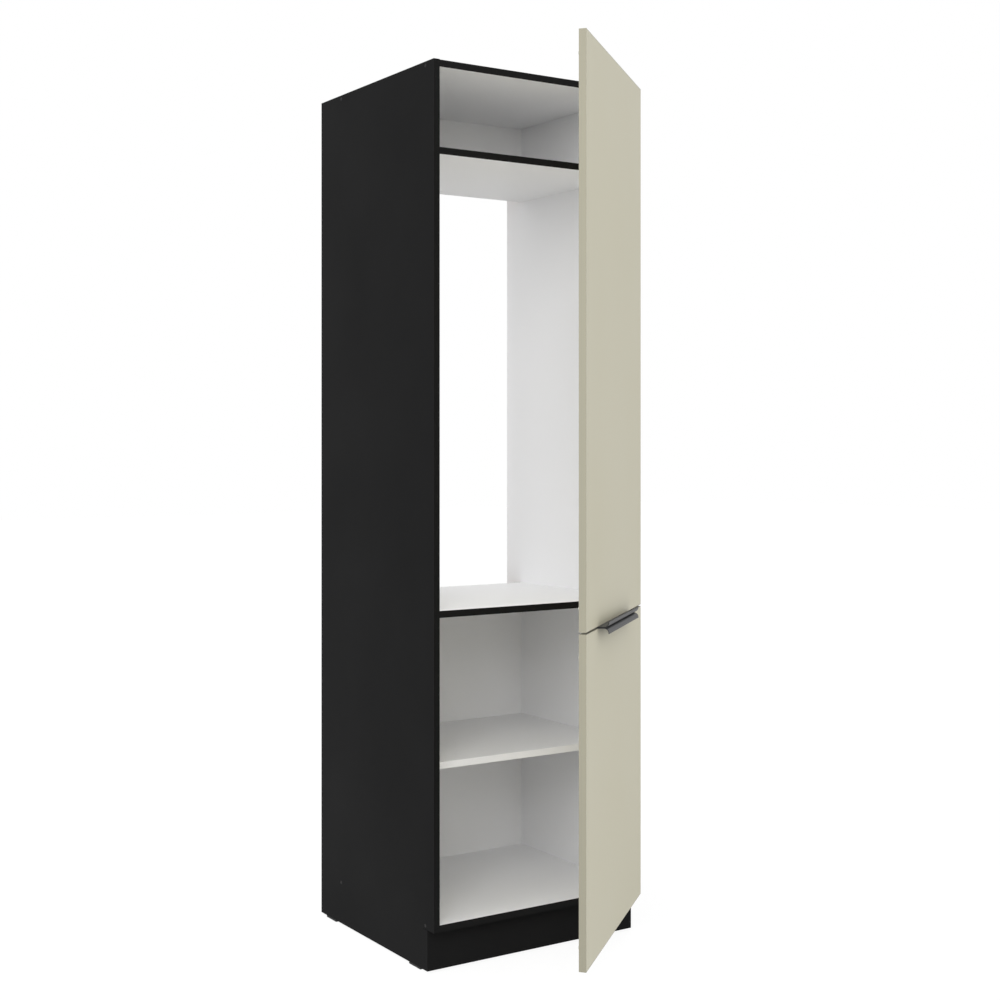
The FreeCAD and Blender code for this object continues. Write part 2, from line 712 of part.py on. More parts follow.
def cup_forms():
    """A cup let into the door's back: bevelled shell, screwed flange and two cheeks that catch the link."""
    def bowl(name, radius, depth, start):
        straight = rod(f"{name}_wall", radius, f"{depth} - cup_bevel", ("cup_x", start, "0"), "-y")
        bevel = cone(f"{name}_bevel", radius, f"{radius} - cup_bevel", "cup_bevel",
                     ("cup_x", f"{start} - ( {depth} - cup_bevel )", "0"), "-y")
        return fuse(name, [straight, bevel])

    shell = bowl("cup_shell", "cup_radius", "cup_depth", "door_back")
    cavity = bowl("cup_cavity", "( cup_radius - cup_wall )", "( flange_thickness + cup_depth - cup_wall )",
                  "door_back + flange_thickness")
    rim = rod("cup_rim", "flange_radius", "flange_thickness", ("cup_x", "door_back", "0"), "y")
    bar = box("cup_bar", ("2 * tab_radius", "flange_thickness", "cup_screw_spread"),
              ("cup_screw_x - tab_radius", "door_back", "-cup_screw_spread / 2"))
    pieces, screws, cheeks = [shell, rim, bar], [], []
    for spot, way in (("low", "-"), ("high", "")):
        z = f"{way}cup_screw_spread / 2"
        pieces.append(rod(f"cup_tab_{spot}", "tab_radius", "flange_thickness",
                          ("cup_screw_x", "door_back", z), "y"))
        screws.append(sunk_screw(f"cup_screw_{spot}", "cup_screw_radius", "flange_thickness + cup_screw_bite",
                                 "cup_screw_head_radius", "cup_screw_head_height",
                                 ("cup_screw_x", "door_back + flange_thickness", z), "-y"))
    height = "cup_depth - cheek_drop"
    for spot, z in (("low", "-channel_half - cheek_wall"), ("high", "channel_half")):
        cheeks.append(box(f"cup_cheek_{spot}", ("cheek_length", height, "cheek_wall"),
                          ("cup_x + cup_radius - cup_wall - cheek_length", "door_back - cup_depth", z)))
    reach = "( channel_half + cheek_wall )"
    window = box("cup_window", ("window_width", "window_height", f"2 * {reach}"),
                 ("window_x - window_width / 2", "window_y - window_height / 2", f"-{reach}"))
    hollow = cut("cup_hollow", fuse("cup_blank", pieces), [cavity] + screws)
    lining = cut("cup_lining", common("cup_cheeks", shell, fuse("cup_cheek_pair", cheeks)), [window])
    return fuse("cup_form", [hollow, lining]), shell, group("cup_screw_pair", screws)


def hang_doors(lower_heights, upper_heights):
    """Plates, arms and pivots on the right side for both doors, and links and cups for each door."""
    heights = lower_heights + upper_heights
    plate, plate_screws, clamps = plate_forms()
    arm, pivot = arm_forms(clamps)
    link = link_form()
    cup, shell, cup_screws = cup_forms()
    for label, form in (("hinge_plates", plate), ("hinge_arms", arm), ("hinge_pivots", pivot),
                        ("hinge_arm_screws", clamps)):
        node(label, group(f"{label}_set", copies(form, heights)))
    board_screws = copies(plate_screws, heights)
    for screw in board_screws:
        bore("right_side_panel", screw)
    node("hinge_plate_screws", group("plate_screw_set", board_screws))
    for door, levels in (("lower", lower_heights), ("upper", upper_heights)):
        swung(f"{door}_hinge_links", copies(link, levels), "link_turn", "link_shift_x", "link_shift_y")
        hung(f"{door}_door_hinge_cups", copies(cup, levels))
        screws = copies(cup_screws, levels)
        for tool in screws + copies(shell, levels):
            bore(f"{door}_door", tool)
        hung(f"{door}_door_cup_screws", screws)


def edge_pull(door, edge, way, into):
    """The handle on the door edge at the split: a tongue along the edge, a flat reach and a rounded lip."""
    def out(text):
        return f"door_front - ( {text} )"

    def away(text):
        return f"{edge} {way} ( {text} )"

    inner = "handle_reach - handle_wall"
    outline = ((out("-handle_tongue"), away("0")), (out(inner), away("0")),
               (out(inner), away("handle_lip")), (out("handle_reach"), away("handle_lip")),
               (out("handle_reach"), away("-handle_wall")), (out("-handle_tongue"), away("-handle_wall")))
    bar = profile(f"{door}_pull", "YZ_Plane", "handle_start", outline, "handle_length")
    round_edges(bar, f"{door}_pull_outer_bend", "handle_turn + handle_wall",
                (1, worth(out("handle_reach"))), (2, worth(away("-handle_wall"))))
    round_edges(bar, f"{door}_pull_inner_bend", "handle_turn", (1, worth(out(inner))), (2, worth(away("0"))))
    screws = []
    for spot, x in (("left", "handle_start + handle_screw_inset"),
                    ("middle", "handle_start + handle_length / 2"),
                    ("right", "handle_start + handle_length - handle_screw_inset")):
        at = (x, "door_front + handle_tongue / 2", away("-handle_wall"))
        screws.append(bore(door, sunk_screw(f"{door}_pull_screw_{spot}", "handle_screw_radius",
                                            "handle_screw_length", "handle_screw_head_radius",
                                            "handle_wall", at, into)))
    hung(f"{door}_handle", [cut(f"{door}_pull_drilled", bar, screws)])
    hung(f"{door}_handle_screws", screws)
    return screws


def door_set(door, bottom, top, edge, way, into):
    """A banded door with its bores, handle and bumpers."""
    pull_screws = edge_pull(door, edge, way, into)
    height = f"{top} - ( {bottom} )"
    blank = box(f"{door}_blank", ("2 * ( door_half - band )", "door_thickness", f"{height} - 2 * band"),
                ("-door_half + band", "door_front", f"{bottom} + band"))
    hung(f"{door}_panel", [bored(door, blank)])
    bands = []
    for name, x in (("free", "-door_half"), ("hinge", "door_half - band")):
        bands.append(box(f"{door}_{name}_band", ("band", "door_thickness", height),
                         (x, "door_front", bottom)))
    for name, z in (("bottom", bottom), ("top", f"{top} - band")):
        strip = box(f"{door}_{name}_band", ("2 * ( door_half - band )", "door_thickness", "band"),
                    ("-door_half + band", "door_front", z))
        at_pull = (name == "top") == (into == "-z")
        bands.append(cut(f"{door}_{name}_band_drilled", strip, pull_screws) if at_pull else strip)
    hung(f"{door}_bands", bands)
    bumpers = []
    for name, z in (("low", f"{bottom} + bumper_inset"), ("high", f"{top} - bumper_inset")):
        bumpers.append(rod(f"{door}_bumper_{name}", "bumper_radius", "bumper_thickness",
                           ("board / 2 - half_width", "door_back", z), "y"))
    hung(f"{door}_bumpers", bumpers)


def check_document():
    """Stop if any feature failed or any sub-part lacks a sound shape."""
    doc.recompute()
    faults = [thing.Name for thing in doc.Objects if {"Invalid", "Error"} & set(thing.State)]
    faults += [thing.Label for thing in nodes if thing.Shape.isNull() or not thing.Shape.isValid()]
    if faults:
        raise RuntimeError(f"features that failed: {faults}")


def write_nodes():
    """Write each sub-part to a file of its own name."""
    os.makedirs("parts", exist_ok=True)
    for thing in nodes:
        thing.Shape.exportStep(f"parts/{thing.Label}.step")


fill_sheet()
lower_heights = ["lower_door_bottom + hinge_end_inset", "lower_door_top - hinge_end_inset"]
upper_heights = ["upper_door_bottom + hinge_end_inset", "( upper_door_bottom + upper_door_top ) / 2",
                 "upper_door_top - hinge_end_inset"]
carcass_screws()
shelf_joints()
loose_shelf()
back_panels()
plinth()
floor_glides()
wall_brackets()
hang_doors(lower_heights, upper_heights)
carcass_boards()
door_set("lower_door", "lower_door_bottom", "lower_door_top", "lower_door_top", "-", "-z")
door_set("upper_door", "upper_door_bottom", "upper_door_top", "upper_door_bottom", "+", "z")
check_document()
write_nodes()
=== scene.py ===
"""Looks of the tall fridge housing cabinet: finishes, small fittings, floor, light and camera."""

import json
import math

import bmesh
import bpy
import numpy as np
from mathutils import Matrix, Vector

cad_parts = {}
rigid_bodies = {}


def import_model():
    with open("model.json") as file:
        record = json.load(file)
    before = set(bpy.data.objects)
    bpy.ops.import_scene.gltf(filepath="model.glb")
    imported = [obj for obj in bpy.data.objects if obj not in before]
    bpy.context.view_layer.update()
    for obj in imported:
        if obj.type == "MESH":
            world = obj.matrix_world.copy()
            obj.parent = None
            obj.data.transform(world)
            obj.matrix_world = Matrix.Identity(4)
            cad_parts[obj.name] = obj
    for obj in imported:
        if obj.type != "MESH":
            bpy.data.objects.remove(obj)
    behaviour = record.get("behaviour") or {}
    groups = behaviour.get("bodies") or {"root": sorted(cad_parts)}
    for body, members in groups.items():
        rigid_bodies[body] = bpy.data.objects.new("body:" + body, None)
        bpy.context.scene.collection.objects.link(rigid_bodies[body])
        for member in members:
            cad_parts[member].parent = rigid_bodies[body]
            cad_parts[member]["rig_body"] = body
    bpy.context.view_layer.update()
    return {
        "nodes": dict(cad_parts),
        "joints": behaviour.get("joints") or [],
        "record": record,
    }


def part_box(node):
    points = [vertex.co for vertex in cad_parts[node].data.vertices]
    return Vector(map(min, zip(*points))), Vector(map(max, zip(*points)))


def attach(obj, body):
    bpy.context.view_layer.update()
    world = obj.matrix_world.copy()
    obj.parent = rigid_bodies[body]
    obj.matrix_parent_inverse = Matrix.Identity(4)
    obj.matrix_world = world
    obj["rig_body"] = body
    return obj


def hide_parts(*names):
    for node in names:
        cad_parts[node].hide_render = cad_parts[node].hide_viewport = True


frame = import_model()

# Camera at the photograph's viewing place, in metres and radians, for an image 1000 pixels each way.
IMAGE_SIZE = 1000
CAMERA_PLACE = (-2.1388, -3.2238, 1.2258)
CAMERA_YAW = 0.55495
FOCAL_PIXELS = 1521.6
CENTRE_PIXELS = (429.8, 440.8)
SENSOR_MM = 36.0

# Light: the even room's strength, each soft lamp's name, place in metres and watts,
# and the side and aim of the lamps in metres.
ROOM_LIGHT = 0.93
LAMPS = (
    ("front_softbox", (-2.8, -3.6, 3.2), 78.0),
    ("left_softbox", (-4.6, -0.6, 2.2), 90.0),
)
LAMP_SIZE = 2.6
LAMP_AIM = (0.0, -0.1, 1.1)

# Floor: its side in metres, its own tone, and the strength and share of the white that is seen on it.
FLOOR_SIZE = 40.0
FLOOR_TONE = 0.45
FLOOR_GLOW = 1.22
FLOOR_SHARE = 0.75

# Finishes as linear colours.
BLACK_LAMINATE = (0.0062, 0.0062, 0.0064)
BLACK_BAND = (0.0095, 0.0095, 0.0097)
PLINTH_BLACK = (0.0145, 0.0145, 0.0148)
WHITE_LAMINATE = (0.917, 0.918, 0.929)
SAGE = (0.645, 0.613, 0.472)
# The doors' edge band is the door sage at about half its brightness: painted shade, so that the lamp-facing
# door edges render darker than the face.
SAGE_BAND_PAINTED_SHADE = (0.319, 0.303, 0.235)
GRAPHITE = (0.060, 0.061, 0.063)
NICKEL = (0.62, 0.61, 0.58)
ZINC = (0.56, 0.57, 0.58)
HARDBOARD = (0.235, 0.135, 0.068)
SOFTWOOD = (0.56, 0.39, 0.22)
BLACK_PLASTIC = (0.011, 0.011, 0.011)
CLEAR_RUBBER = (0.60, 0.60, 0.57)

# The side panels turn white at their inner faces and the back panels raw at their rear faces,
# each with a skin of this depth in metres.
FACE_SKIN = 0.0004
WHITE_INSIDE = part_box("right_side_panel")[0].x + FACE_SKIN
RAW_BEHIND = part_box("upper_back_panel")[1].y - FACE_SKIN

# The part of a noise's range that holds most of its values.
NOISE_LOW = 0.3
NOISE_HIGH = 0.7

# Depth of surface relief in metres.
PEARL_DEPTH = 0.0002
GRAIN_DEPTH = 0.0001
RING_DEPTH = 0.0003

# Lines per metre along and across a pull, the doors' angle at rest, and the stretch of the wood's rings.
PULL_LINES = (12.0, 2600.0, 2600.0)
REST_ANGLE = math.radians(-frame["joints"][0]["range_deg"][0])
RING_STRETCH = (0.15, 1.0, 1.0)

# Cross recess: reach and width as shares of the radius, depth as a share of the height,
# narrowing towards its foot, and the turn from one recess to the next in radians.
CROSS_REACH = 0.62
CROSS_WIDTH = 0.17
SCREW_CROSS_DEPTH = 0.6
DISC_CROSS_DEPTH = 0.3
CROSS_TAPER = 0.5
SPIN_STEP = 2.4

# Screws: sides of the turned form, the rim's rounding as a share of the head's height,
# and the tip as shares of the shank's length and width.
SCREW_SIDES = 32
RIM_ROUND = 0.4
TIP_SHARE = 0.25
TIP_WIDTH = 0.2
RECESSED_SCREWS = (
    "hinge_plate_screws", "hinge_arm_screws",
    "lower_door_cup_screws", "upper_door_cup_screws",
    "wall_bracket_screws",
    "lower_door_handle_screws", "upper_door_handle_screws",
)

# Cam discs and screw caps: sides of the turned form, then rim width, sunk face and rounding in metres.
DISC_SIDES = 48
DISC_RIM = 0.0011
DISC_SINK = 0.0004
DISC_ROUND = 0.0003

# Modelling: steps of a rounded edge, the angle up to which faces shade smoothly, the least upright
# part of a level face's normal, and the distances in metres that count as equal and that are merged.
ROUND_STEPS = 3
SMOOTH_ANGLE = math.radians(35)
LEVEL = 0.99
NEAR = 1e-5
MERGE = 1e-6

SLOTS = {part["node"]: part["material_slot"] for part in frame["record"]["subparts"]}


def add(tree, kind, **settings):
    """A node with its settings; words that name an input set that input."""
    node = tree.nodes.new(kind)
    for name, value in settings.items():
        label = name.replace("_", " ").title()
        if label in node.inputs and not hasattr(type(node), name):
            node.inputs[label].default_value = value
        else:
            setattr(node, name, value)
    return node


def object_place(tree, turn=0.0, stretch=(1, 1, 1)):
    """Object coordinates, turned about the upright axis and stretched."""
    place = add(tree, "ShaderNodeTexCoord")
    mapping = add(tree, "ShaderNodeMapping")
    mapping.inputs["Rotation"].default_value = (0, 0, turn)
    mapping.inputs["Scale"].default_value = stretch
    tree.links.new(place.outputs["Object"], mapping.inputs["Vector"])
    return mapping.outputs["Vector"]


def noise_group(name, *noises):
    """A shader group of noises, each given as its output, its scale input, its detail and its roughness."""
    group = bpy.data.node_groups.new(name, "ShaderNodeTree")
    for output, scale, _, _ in noises:
        group.interface.new_socket(scale, in_out="INPUT", socket_type="NodeSocketFloat")
        group.interface.new_socket(output, in_out="OUTPUT", socket_type="NodeSocketFloat")
    entry = group.nodes.new("NodeGroupInput")
    result = group.nodes.new("NodeGroupOutput")
    where = object_place(group)
    for output, scale, detail, roughness in noises:
        noise = add(group, "ShaderNodeTexNoise", detail=detail, roughness=roughness)
        group.links.new(where, noise.inputs["Vector"])
        group.links.new(entry.outputs[scale], noise.inputs["Scale"])
        group.links.new(noise.outputs["Fac"], result.inputs[output])
    return group


# Fine pressed pearl of a laminate with slow cloudy shifts, and fine grains of plating with handling marks.
PEARL = noise_group("pressed_pearl",
                    ("Height", "Pearl Scale", 3.0, 0.6),
                    ("Cloud", "Cloud Scale", 5.0, 0.55))
PLATING = noise_group("plating",
                      ("Height", "Grain Scale", 2.0, 0.5),
                      ("Mark", "Mark Scale", 6.0, 0.65))


def placed(tree, group, **scales):
    """A shared effect placed in a material with its own scales."""
    node = add(tree, "ShaderNodeGroup", node_tree=group)
    for name, value in scales.items():
        node.inputs[f"{name.title()} Scale"].default_value = value
    return node


def blank_material(name, roughness=0.5, **sockets):
    """A material with a plain Principled shader whose constant values are set on its own sockets."""
    material = bpy.data.materials.new(name)
    material.use_nodes = True
    tree = material.node_tree
    shader = tree.nodes["Principled BSDF"]
    shader.inputs["Roughness"].default_value = roughness
    for label, value in sockets.items():
        shader.inputs[label.replace("_", " ").title().replace("Ior", "IOR")].default_value = value
    return material, tree, shader


def shade(colour, factor):
    """A lighter or darker version of a colour, with full opacity."""
    return tuple(min(1.0, part * factor) for part in colour) + (1.0,)


def tone(tree, value, colour, drift):
    """Colour that drifts by a small share either way with a value."""
    ramp = add(tree, "ShaderNodeValToRGB")
    low, high = ramp.color_ramp.elements
    low.position, high.position = NOISE_LOW, NOISE_HIGH
    low.color, high.color = shade(colour, 1 - drift), shade(colour, 1 + drift)
    tree.links.new(value, ramp.inputs["Fac"])
    return ramp.outputs["Color"]


def vary_roughness(tree, shader, value, low, high):
    """Roughness that follows a value between two levels."""
    spread = add(tree, "ShaderNodeMapRange", from_min=NOISE_LOW, from_max=NOISE_HIGH,
                 to_min=low, to_max=high)
    tree.links.new(value, spread.inputs["Value"])
    tree.links.new(spread.outputs["Result"], shader.inputs["Roughness"])


def relief(tree, shader, height, strength, depth):
    """Surface relief from a height value."""
    bump = add(tree, "ShaderNodeBump", strength=strength, distance=depth)
    tree.links.new(height, bump.inputs["Height"])
    tree.links.new(bump.outputs["Normal"], shader.inputs["Normal"])


def change_at(tree, near, far, axis, level):
    """One colour up to a distance from the middle plane of the cabinet, and another beyond it."""
    place = add(tree, "ShaderNodeTexCoord")
    parts = add(tree, "ShaderNodeSeparateXYZ")
    tree.links.new(place.outputs["Object"], parts.inputs["Vector"])
    distance = add(tree, "ShaderNodeMath", operation="ABSOLUTE")
    tree.links.new(parts.outputs[axis], distance.inputs[0])
    beyond = add(tree, "ShaderNodeMath", operation="GREATER_THAN")
    beyond.inputs[1].default_value = level
    tree.links.new(distance.outputs["Value"], beyond.inputs[0])
    blend = add(tree, "ShaderNodeMix", data_type="RGBA")
    tree.links.new(beyond.outputs["Value"], blend.inputs["Factor"])
    tree.links.new(near, blend.inputs["A"])
    tree.links.new(far, blend.inputs["B"])
    return blend.outputs["Result"]


def pressed(name, colour, drift=0.004, rough=(0.42, 0.52), strength=0.3, specular=0.3,
            pearl=900.0, cloud=3.0):
    """Pressed laminate of one colour: its material, and what a second face's finish goes on from."""
    material, tree, shader = blank_material(name, specular_ior_level=specular)
    effect = placed(tree, PEARL, pearl=pearl, cloud=cloud)
    base = tone(tree, effect.outputs["Cloud"], colour, drift)
    tree.links.new(base, shader.inputs["Base Color"])
    vary_roughness(tree, shader, effect.outputs["Cloud"], *rough)
    relief(tree, shader, effect.outputs["Height"], strength, PEARL_DEPTH)
    return material, tree, shader, effect, base


def laminate(name, colour, **values):
    """Pressed laminate that has one colour all round."""
    return pressed(name, colour, **values)[0]


def side_laminate():
    """Black laminate whose inner face is white."""
    material, tree, shader, effect, black = pressed(
        "side_laminate", BLACK_LAMINATE, drift=0.06, rough=(0.50, 0.60), specular=0.045)
    white = tone(tree, effect.outputs["Height"], WHITE_LAMINATE, drift=0.004)
    tree.links.new(change_at(tree, white, black, "X", WHITE_INSIDE), shader.inputs["Base Color"])
    return material


def back_board():
    """White faced hardboard whose rear is raw and speckled."""
    material, tree, shader, effect, white = pressed(
        "back_board", WHITE_LAMINATE, drift=0.006, rough=(0.5, 0.6),
        strength=0.2, specular=0.12, pearl=700.0)
    raw = tone(tree, effect.outputs["Height"], HARDBOARD, drift=0.14)
    tree.links.new(change_at(tree, white, raw, "Y", RAW_BEHIND), shader.inputs["Base Color"])
    return material


def plated(name, colour, drift=0.06, rough=(0.26, 0.40), strength=0.06, grain=1800.0, mark=60.0):
    """Plated steel with fine grain and handling marks."""
    material, tree, shader = blank_material(name, metallic=1.0)
    effect = placed(tree, PLATING, grain=grain, mark=mark)
    tree.links.new(tone(tree, effect.outputs["Mark"], colour, drift), shader.inputs["Base Color"])
    vary_roughness(tree, shader, effect.outputs["Mark"], *rough)
    relief(tree, shader, effect.outputs["Height"], strength, GRAIN_DEPTH)
    return material


def anodised(name, colour, drift=0.10, rough=(0.30, 0.42), strength=0.05):
    """Matt anodised aluminium with fine lines along the pulls."""
    material, tree, shader = blank_material(name, metallic=0.15, specular_ior_level=0.05)
    lines = add(tree, "ShaderNodeTexNoise", scale=1.0, detail=4.0, roughness=0.6)
    tree.links.new(object_place(tree, -REST_ANGLE, PULL_LINES), lines.inputs["Vector"])
    tree.links.new(tone(tree, lines.outputs["Fac"], colour, drift), shader.inputs["Base Color"])
    vary_roughness(tree, shader, lines.outputs["Fac"], *rough)
    relief(tree, shader, lines.outputs["Fac"], strength, GRAIN_DEPTH)
    return material


def timber(name, colour, drift=0.16, rough=(0.55, 0.7), strength=0.15):
    """Plain softwood with growth lines."""
    material, tree, shader = blank_material(name, specular_ior_level=0.25)
    rings = add(tree, "ShaderNodeTexWave", wave_type="BANDS", bands_direction="Y",
                scale=90.0, distortion=4.0, detail=3.0)
    tree.links.new(object_place(tree, stretch=RING_STRETCH), rings.inputs["Vector"])
    tree.links.new(tone(tree, rings.outputs["Fac"], colour, drift), shader.inputs["Base Color"])
    vary_roughness(tree, shader, rings.outputs["Fac"], *rough)
    relief(tree, shader, rings.outputs["Fac"], strength, RING_DEPTH)
    return material


def board_finishes():
    """Finishes of the carcass boards, their edge bands and the plinth, by slot."""
    return {
        "side_board": side_laminate(),
        "white_board": laminate("white_laminate", WHITE_LAMINATE, specular=0.12),
        "black_band": laminate("black_edge_band", BLACK_BAND, drift=0.05, rough=(0.40, 0.50),
                               strength=0.05, specular=0.05, pearl=600.0, cloud=6.0),
        "white_band": laminate("white_edge_band", WHITE_LAMINATE, drift=0.01, rough=(0.34, 0.44),
                               strength=0.05, pearl=600.0, cloud=6.0),
        "back_board": back_board(),
        "plinth_laminate": laminate("plinth_laminate", PLINTH_BLACK, drift=0.05, rough=(0.5, 0.6),
                                    specular=0.01),
        "block_wood": timber("block_softwood", SOFTWOOD),
    }


def door_finishes():
    """Finishes of the doors, their edge bands, pulls and bumpers, by slot."""
    return {
        "door_lacquer": laminate("sage_lacquer", SAGE, drift=0.008, rough=(0.44, 0.54),
                                 strength=0.2, specular=0.25, pearl=1400.0, cloud=2.0),
        # Edge band: the door sage darkened, painted shade on the door edges.
        "door_band": laminate("sage_edge_band_painted_shade", SAGE_BAND_PAINTED_SHADE, drift=0.008, rough=(0.4, 0.5),
                              strength=0.12, specular=0.25, pearl=700.0, cloud=6.0),
        "graphite": anodised("graphite_anodised", GRAPHITE),
        "graphite_steel": plated("black_zinc", GRAPHITE, drift=0.12, rough=(0.35, 0.5),
                                 grain=1500.0, mark=80.0),
        "clear_rubber": laminate("bumper_rubber", CLEAR_RUBBER, drift=0.05, rough=(0.3, 0.45),
                                 strength=0.08, specular=0.4, pearl=2500.0, cloud=40.0),
    }


def fitting_finishes():
    """Finishes of the fasteners, hinges, caps and glides, by slot."""
    return {
        "black_plastic": laminate("moulded_plastic", BLACK_PLASTIC, drift=0.08, rough=(0.38, 0.5),
                                  strength=0.2, specular=0.2, pearl=2000.0, cloud=20.0),
        "zinc_steel": plated("zinc_plate", ZINC, drift=0.1, rough=(0.3, 0.48), grain=1500.0, mark=40.0),
        "hinge_steel": plated("nickel_plate", NICKEL),
    }


FINISHES = {**board_finishes(), **door_finishes(), **fitting_finishes()}


def dress_nodes():
    """Give every solid of the cabinet its finish."""
    for node, slot in SLOTS.items():
        mesh = frame["nodes"][node].data
        mesh.materials.clear()
        mesh.materials.append(FINISHES[slot])


def solids_of(node):
    """The corners of each separate solid of a node, as one array for each solid."""
    shape = bmesh.new()
    shape.from_mesh(frame["nodes"][node].data)
    bmesh.ops.remove_doubles(shape, verts=shape.verts, dist=MERGE)
    found = []
    for first in shape.verts:
        if first.tag:
            continue
        first.tag = True
        corners = [first]
        for corner in corners:
            for edge in corner.link_edges:
                other = edge.other_vert(corner)
                if not other.tag:
                    other.tag = True
                    corners.append(other)
        found.append(np.array([corner.co[:] for corner in corners]))
    shape.free()
    return found


def screw_measures(corners):
    """A screw solid's head place, outward way, head and shank radius, head height, length and sunk form."""
    centre = corners.mean(0)
    way = np.linalg.svd(corners - centre)[2][0]
    along = (corners - centre) @ way
    radius = np.linalg.norm(corners - centre - np.outer(along, way), axis=1)
    if radius[along.argmax()] < radius[along.argmin()]:
        way, along = -way, -along
    top, foot = along.max(), along.min()
    head = radius[along > top - NEAR].max()
    shank = radius[along < foot + NEAR].max()
    neck = along[radius < shank + NEAR].max()
    sunk = radius[along < neck + NEAR].max() < shank + NEAR
    return {
        "place": Vector(centre + top * way), "way": Vector(way),
        "head": float(head), "shank": float(shank),
        "rise": float(top - neck), "length": float(top - foot), "sunk": bool(sunk),
    }


def face_middle(low, high, way):
    """The middle of the side of a box that looks along one axis."""
    half = (high - low) / 2
    return low + half + Vector((half.x * way.x, half.y * way.y, half.z * way.z))


def pick_faces(piece, test):
    """Select, in edit mode, the faces of a piece whose normal passes a test."""
    bpy.ops.object.mode_set(mode="EDIT")
    bpy.ops.mesh.select_mode(type="FACE")
    bpy.ops.mesh.select_all(action="DESELECT")
    shape = bmesh.from_edit_mesh(piece.data)
    for face in shape.faces:
        face.select_set(test(face.normal))
    bmesh.update_edit_mesh(piece.data)


def looks_up(normal):
    """Whether a face with this normal lies level and looks up."""
    return normal.z > LEVEL


def looks_down(normal):
    """Whether a face with this normal lies level and looks down."""
    return normal.z < -LEVEL


def narrow(share):
    """Draw the selected faces in towards the upright axis."""
    bpy.ops.transform.resize(value=(share, share, 1), center_override=(0, 0, 0))


def stretch_down(drop):
    """Extrude the selected faces straight down."""
    bpy.ops.mesh.extrude_region_move(TRANSFORM_OT_translate={"value": (0, 0, -drop)})


def round_bar(sides, radius, depth):
    """An upright cylinder whose top lies at height nought."""
    bpy.ops.object.select_all(action="DESELECT")
    bpy.ops.mesh.primitive_cylinder_add(vertices=sides, radius=radius, depth=depth,
                                        location=(0, 0, -depth / 2))
    bpy.ops.object.transform_apply(location=True)
    return bpy.context.object


def round_top_rim(piece, width):
    """Round the edge of the top face."""
    pick_faces(piece, looks_up)
    bpy.ops.mesh.region_to_loop()
    bpy.ops.mesh.bevel(offset=width, segments=ROUND_STEPS, affect="EDGES")


def cut_cross(piece, radius, depth):
    """Cut a tapered cross recess into the top of a piece."""
    reach, width = CROSS_REACH * radius, CROSS_WIDTH * radius
    bpy.ops.object.mode_set(mode="OBJECT")
    for half_x, half_y in ((reach, width), (width, reach)):
        bpy.ops.object.select_all(action="DESELECT")
        bpy.ops.mesh.primitive_cube_add(size=2)
        bar = bpy.context.object
        pick_faces(bar, lambda normal: True)
        bpy.ops.transform.resize(value=(half_x, half_y, depth), center_override=(0, 0, 0))
        pick_faces(bar, looks_down)
        narrow(CROSS_TAPER)
        bpy.ops.object.mode_set(mode="OBJECT")
        bpy.context.view_layer.objects.active = piece
        cutter = piece.modifiers.new("cross", "BOOLEAN")
        cutter.operation = "DIFFERENCE"
        cutter.object = bar
        bpy.ops.object.modifier_apply(modifier=cutter.name)
        bpy.data.objects.remove(bar)


def cross_screw(sizes):
    """One screw at the origin, its top at height nought: turned head, pointed shank and cross recess."""
    screw = round_bar(SCREW_SIDES, sizes["head"], sizes["rise"])
    pick_faces(screw, looks_down)
    if not sizes["sunk"]:
        stretch_down(0)
    narrow(sizes["shank"] / sizes["head"])
    shank_length = sizes["length"] - sizes["rise"]
    stretch_down(shank_length * (1 - TIP_SHARE))
    stretch_down(shank_length * TIP_SHARE)
    narrow(TIP_WIDTH)
    if not sizes["sunk"]:
        round_top_rim(screw, RIM_ROUND * sizes["rise"])
    cut_cross(screw, sizes["head"], SCREW_CROSS_DEPTH * sizes["rise"])
    return screw


def turned_disc(radius, depth):
    """One disc at the origin with its face at height nought: rounded rim and sunk face."""
    disc = round_bar(DISC_SIDES, radius, depth)
    round_top_rim(disc, DISC_ROUND)
    pick_faces(disc, looks_up)
    bpy.ops.mesh.inset(thickness=DISC_RIM)
    stretch_down(DISC_SINK)
    bpy.ops.object.mode_set(mode="OBJECT")
    return disc


def seat_copies(model, name, node, places):
    """Copy a finished model to each (place, way, spin), join the copies and let them stand for the node."""
    slot = SLOTS[node]
    bpy.ops.object.select_all(action="DESELECT")
    for place, way, spin in places:
        turn = way.to_track_quat("Z", "Y").to_matrix().to_4x4()
        copy = bpy.data.objects.new(model.name, model.data.copy())
        copy.data.transform(Matrix.Translation(place) @ turn @ Matrix.Rotation(spin, 4, "Z"))
        bpy.context.scene.collection.objects.link(copy)
        copy.select_set(True)
        bpy.context.view_layer.objects.active = copy
    bpy.data.objects.remove(model)
    bpy.ops.object.join()
    piece = bpy.context.object
    piece.name = name
    piece.data.materials.clear()
    piece.data.materials.append(FINISHES[slot])
    bpy.ops.object.shade_smooth_by_angle(angle=SMOOTH_ANGLE)
    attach(piece, frame["nodes"][node]["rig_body"])
    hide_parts(node)


def drive_screws():
    """Screws with real cross recesses stand for the plain screw solids that show."""
    for node in RECESSED_SCREWS:
        screws = [screw_measures(corners) for corners in solids_of(node)]
        places = [(screw["place"], screw["way"], index * SPIN_STEP) for index, screw in enumerate(screws)]
        seat_copies(cross_screw(screws[0]), f"recessed_{node}", node, places)


def fit_cam_discs():
    """Slotted cam discs, all of one size, stand for the plain ones, flush with their shelves."""
    under_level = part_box("fridge_floor_shelf")[0].z
    places = []
    for index, corners in enumerate(solids_of("cam_discs")):
        low, high = Vector(corners.min(0)), Vector(corners.max(0))
        under = abs(low.z - under_level) < NEAR
        way = Vector((0, 0, -1 if under else 1))
        places.append((face_middle(low, high, way), way, index * SPIN_STEP))
    radius, depth = (high.x - low.x) / 2, high.z - low.z
    disc = turned_disc(radius, depth)
    cut_cross(disc, radius, DISC_CROSS_DEPTH * depth)
    seat_copies(disc, "slotted_cam_discs", "cam_discs", places)


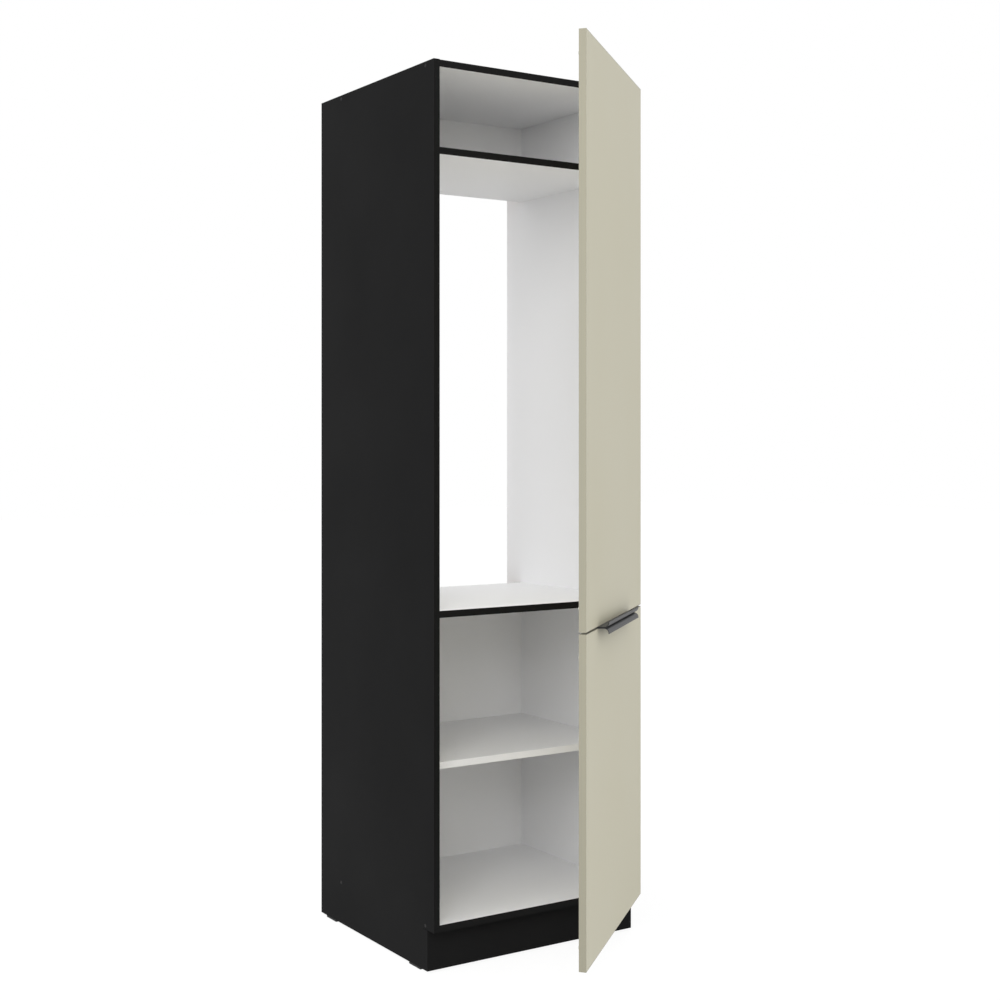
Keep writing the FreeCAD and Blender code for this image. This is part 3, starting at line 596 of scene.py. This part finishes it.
def press_screw_caps():
    """Dished caps, all of one size, stand for the plain ones in the sides' outer faces."""
    places = []
    for corners in solids_of("screw_caps"):
        low, high = Vector(corners.min(0)), Vector(corners.max(0))
        way = Vector((math.copysign(1, high.x), 0, 0))
        places.append((face_middle(low, high, way), way, 0.0))
    cap = turned_disc((high.y - low.y) / 2, high.x - low.x)
    seat_copies(cap, "dished_screw_caps", "screw_caps", places)


def seen_rays(tree):
    """One for rays of the camera, reflections and clear things, and nought for light that bounces."""
    path = add(tree, "ShaderNodeLightPath")
    mirrored = add(tree, "ShaderNodeMath", operation="ADD")
    tree.links.new(path.outputs["Is Glossy Ray"], mirrored.inputs[0])
    tree.links.new(path.outputs["Is Transmission Ray"], mirrored.inputs[1])
    seen = add(tree, "ShaderNodeMath", operation="ADD", use_clamp=True)
    tree.links.new(path.outputs["Is Camera Ray"], seen.inputs[0])
    tree.links.new(mirrored.outputs["Value"], seen.inputs[1])
    return seen.outputs["Value"]


def paper_floor():
    """A wide pale floor that is seen as white and keeps the cabinet's soft shadow."""
    bpy.ops.object.select_all(action="DESELECT")
    bpy.ops.mesh.primitive_plane_add(size=FLOOR_SIZE, location=(0, 0, 0))
    floor = bpy.context.object
    floor.name = "paper_floor"
    material, tree, shader = blank_material("paper_white", roughness=0.9, specular_ior_level=0.0)
    shader.inputs["Base Color"].default_value = (FLOOR_TONE, FLOOR_TONE, FLOOR_TONE, 1.0)
    glow = add(tree, "ShaderNodeEmission", strength=FLOOR_GLOW)
    mix = add(tree, "ShaderNodeMixShader")
    share = add(tree, "ShaderNodeMath", operation="MULTIPLY")
    share.inputs[1].default_value = FLOOR_SHARE
    tree.links.new(seen_rays(tree), share.inputs[0])
    tree.links.new(share.outputs["Value"], mix.inputs["Fac"])
    tree.links.new(shader.outputs["BSDF"], mix.inputs[1])
    tree.links.new(glow.outputs["Emission"], mix.inputs[2])
    tree.links.new(mix.outputs["Shader"], tree.nodes["Material Output"].inputs["Surface"])
    floor.data.materials.append(material)


def white_room():
    """An even room that lights the cabinet softly and is seen as pure white."""
    world = bpy.data.worlds.new("studio")
    bpy.context.scene.world = world
    world.use_nodes = True
    tree = world.node_tree
    backdrop = tree.nodes["Background"]
    strength = add(tree, "ShaderNodeMapRange", to_min=ROOM_LIGHT, to_max=1.0)
    tree.links.new(seen_rays(tree), strength.inputs["Value"])
    tree.links.new(strength.outputs["Result"], backdrop.inputs["Strength"])
    backdrop.inputs["Color"].default_value = (1, 1, 1, 1)


def soft_lamps():
    """Broad soft lamps that stay out of reflections, so that metal near them keeps its tone."""
    for name, place, watts in LAMPS:
        lamp = bpy.data.lights.new(name, "AREA")
        lamp.shape = "SQUARE"
        lamp.size = LAMP_SIZE
        lamp.energy = watts
        softbox = bpy.data.objects.new(name, lamp)
        softbox.location = place
        softbox.visible_glossy = False
        softbox.rotation_euler = (Vector(LAMP_AIM) - Vector(place)).to_track_quat("-Z", "Y").to_euler()
        bpy.context.scene.collection.objects.link(softbox)


def photo_camera():
    """The photograph's level camera, with the framing's shift."""
    data = bpy.data.cameras.new("photo_camera")
    data.sensor_width = SENSOR_MM
    data.lens = FOCAL_PIXELS / IMAGE_SIZE * SENSOR_MM
    data.shift_x = 0.5 - CENTRE_PIXELS[0] / IMAGE_SIZE
    data.shift_y = CENTRE_PIXELS[1] / IMAGE_SIZE - 0.5
    camera = bpy.data.objects.new("photo_camera", data)
    camera.location = CAMERA_PLACE
    camera.rotation_euler = (math.pi / 2, 0, -CAMERA_YAW)
    bpy.context.scene.collection.objects.link(camera)
    bpy.context.scene.camera = camera


dress_nodes()
drive_screws()
fit_cam_discs()
press_screw_caps()
paper_floor()
white_room()
soft_lamps()
photo_camera()
bpy.context.scene.view_settings.view_transform = "Standard"
